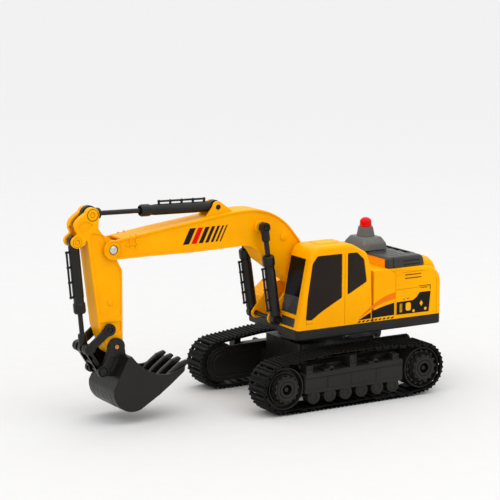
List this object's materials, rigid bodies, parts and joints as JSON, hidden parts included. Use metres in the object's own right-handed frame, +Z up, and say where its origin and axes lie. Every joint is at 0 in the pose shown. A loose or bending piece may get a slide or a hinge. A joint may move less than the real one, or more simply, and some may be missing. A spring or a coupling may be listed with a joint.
{
  "type": "toy excavator",
  "caption": "Tracked toy excavator with turning house, cab, beacon, two-part arm on dummy cylinders and a toothed bucket, built from separate moulded pieces.",
  "frame": {"origin": "centre of the overall box on the ground", "axes": "+Z up, -Y towards the bucket, +X towards the cab side"},
  "size_m": [0.1276, 0.3196, 0.1696],
  "materials": {
    "yellow_abs": "satin moulded ABS",
    "black_abs": "moulded ABS, satin",
    "dark_grey_abs": "moulded ABS, satin",
    "mid_grey_abs": "moulded ABS, satin",
    "window_abs": "polished dark plastic",
    "window_grey_abs": "polished grey plastic",
    "red_lens": "clear red plastic",
    "black_rubber": "matt",
    "steel": "plated",
    "copper_steel": "copper plated",
    "green_board": "lacquered board",
    "cell_wrap": "shrink wrap"
  },
  "bodies": {
    "undercarriage": {"chassis_hull": "black_abs", "battery_cover": "black_abs", "battery_pack": "cell_wrap", "turntable_ring": "mid_grey_abs", "track_frame_left": "black_abs", "track_frame_right": "black_abs", "track_cover_left": "dark_grey_abs", "track_cover_right": "dark_grey_abs", "track_belt_left": "black_rubber", "track_belt_right": "black_rubber", "drive_gearbox_left": "black_abs", "drive_gearbox_right": "black_abs"},
    "idler_left": {"idler_left": "dark_grey_abs"},
    "idler_right": {"idler_right": "dark_grey_abs"},
    "sprocket_left": {"sprocket_left": "dark_grey_abs", "sprocket_axle_left": "steel"},
    "sprocket_right": {"sprocket_right": "dark_grey_abs", "sprocket_axle_right": "steel"},
    "power_switch": {"power_switch": "mid_grey_abs"},
    "house": {"house_deck": "dark_grey_abs", "swing_spindle": "mid_grey_abs", "body_shell": "yellow_abs", "right_tank": "yellow_abs", "cab_shell": "yellow_abs", "windscreen": "window_abs", "windscreen_lower": "window_grey_abs", "foot_window": "window_grey_abs", "door_window": "window_abs", "rear_side_window": "window_abs", "cab_right_window": "window_abs", "engine_hood": "dark_grey_abs", "beacon_tower": "mid_grey_abs", "beacon_lens": "red_lens", "boom_bracket": "yellow_abs", "boom_foot_pin": "steel", "cylinder_foot_pin": "black_abs", "swing_gearbox": "mid_grey_abs", "circuit_board": "green_board"},
    "boom": {"boom_left_half": "yellow_abs", "boom_right_half": "yellow_abs", "stick_pivot_screw": "steel", "stick_cylinder_pin": "black_abs", "boom_cylinder_pin": "black_abs"},
    "boom_cylinder_barrels": {"boom_cylinder_barrel_left": "black_abs", "boom_cylinder_barrel_right": "black_abs"},
    "boom_cylinder_rods": {"boom_cylinder_rod_left": "black_abs", "boom_cylinder_rod_right": "black_abs"},
    "stick_cylinder_barrel": {"stick_cylinder_barrel": "black_abs"},
    "stick": {"stick_left_half": "yellow_abs", "stick_right_half": "yellow_abs", "stick_eye_pin": "yellow_abs", "bucket_cylinder_pin": "yellow_abs", "rocker_pin": "black_abs", "bucket_pin": "copper_steel"},
    "stick_cylinder_rod": {"stick_cylinder_rod": "black_abs"},
    "bucket_cylinder_barrel": {"bucket_cylinder_barrel": "black_abs"},
    "rocker": {"rocker": "black_abs"},
    "bucket_cylinder_rod": {"bucket_cylinder_rod": "black_abs"},
    "bucket": {"bucket": "black_abs"},
    "bucket_link": {"bucket_link": "black_abs"}
  },
  "joints": [
    {"name": "swing", "type": "hinge", "parent": "undercarriage", "child": "house", "pos_m": [0, 0.06458, 0.0534], "axis": [0, 0, 1], "continuous": true},
    {"name": "boom_lift", "type": "hinge", "parent": "house", "child": "boom", "pos_m": [0, 0.06258, 0.084], "axis": [-1, 0, 0], "range_deg": [-2, 25]},
    {"name": "boom_barrel_swing", "type": "hinge", "parent": "house", "child": "boom_cylinder_barrels", "pos_m": [0, 0.01608, 0.0672], "axis": [-1, 0, 0], "range_deg": [-2.1, 20.5]},
    {"name": "boom_rod_swing", "type": "hinge", "parent": "boom", "child": "boom_cylinder_rods", "pos_m": [0, 0.00558, 0.1425], "axis": [-1, 0, 0], "range_deg": [-5.5, 0.9]},
    {"name": "stick_swing", "type": "hinge", "parent": "boom", "child": "stick", "pos_m": [0, -0.12382, 0.1352], "axis": [1, 0, 0], "range_deg": [-18, 22]},
    {"name": "stick_barrel_swing", "type": "hinge", "parent": "boom", "child": "stick_cylinder_barrel", "pos_m": [0, -0.03002, 0.1602], "axis": [1, 0, 0], "range_deg": [-3.3, 3.9]},
    {"name": "stick_rod_swing", "type": "hinge", "parent": "stick", "child": "stick_cylinder_rod", "pos_m": [0, -0.13972, 0.163], "axis": [1, 0, 0], "range_deg": [-19.1, 15.7]},
    {"name": "bucket_curl", "type": "hinge", "parent": "stick", "child": "bucket", "pos_m": [0, -0.12252, 0.0597], "axis": [1, 0, 0], "range_deg": [-30, 22]},
    {"name": "rocker_swing", "type": "hinge", "parent": "stick", "child": "rocker", "pos_m": [0, -0.12782, 0.0734], "axis": [1, 0, 0], "range_deg": [-27.5, 20.3]},
    {"name": "link_swing", "type": "hinge", "parent": "bucket", "child": "bucket_link", "pos_m": [0, -0.13462, 0.0416], "axis": [1, 0, 0], "range_deg": [-15.6, 21.1]},
    {"name": "bucket_barrel_swing", "type": "hinge", "parent": "stick", "child": "bucket_cylinder_barrel", "pos_m": [0, -0.15282, 0.1431], "axis": [1, 0, 0], "range_deg": [-4, 3]},
    {"name": "bucket_rod_swing", "type": "hinge", "parent": "rocker", "child": "bucket_cylinder_rod", "pos_m": [0, -0.14552, 0.0598], "axis": [1, 0, 0], "range_deg": [-17.8, 24.1]},
    {"name": "sprocket_left_spin", "type": "hinge", "parent": "undercarriage", "child": "sprocket_left", "pos_m": [0.0498, 0.12998, 0.0226], "axis": [1, 0, 0], "continuous": true},
    {"name": "idler_left_spin", "type": "hinge", "parent": "undercarriage", "child": "idler_left", "pos_m": [0.0498, -0.00082, 0.0212], "axis": [1, 0, 0], "continuous": true},
    {"name": "sprocket_right_spin", "type": "hinge", "parent": "undercarriage", "child": "sprocket_right", "pos_m": [-0.0498, 0.12998, 0.0226], "axis": [1, 0, 0], "continuous": true},
    {"name": "idler_right_spin", "type": "hinge", "parent": "undercarriage", "child": "idler_right", "pos_m": [-0.0498, -0.00082, 0.0212], "axis": [1, 0, 0], "continuous": true},
    {"name": "power_switch_slide", "type": "slide", "parent": "undercarriage", "child": "power_switch", "axis": [1, 0, 0], "range_m": [0, 0.003]}
  ],
  "couplings": [
    {"joint": "boom_barrel_swing", "follows": "boom_lift", "ratio": 0.798},
    {"joint": "boom_rod_swing", "follows": "boom_lift", "ratio": -0.202},
    {"joint": "stick_barrel_swing", "follows": "stick_swing", "ratio": 0.156},
    {"joint": "stick_rod_swing", "follows": "stick_swing", "ratio": -0.844},
    {"joint": "rocker_swing", "follows": "bucket_curl", "ratio": 0.9},
    {"joint": "link_swing", "follows": "bucket_curl", "ratio": -0.686},
    {"joint": "bucket_barrel_swing", "follows": "bucket_curl", "ratio": 0.115},
    {"joint": "bucket_rod_swing", "follows": "bucket_curl", "ratio": -0.785},
    {"joint": "idler_left_spin", "follows": "sprocket_left_spin", "ratio": 1},
    {"joint": "idler_right_spin", "follows": "sprocket_right_spin", "ratio": 1}
  ]
}
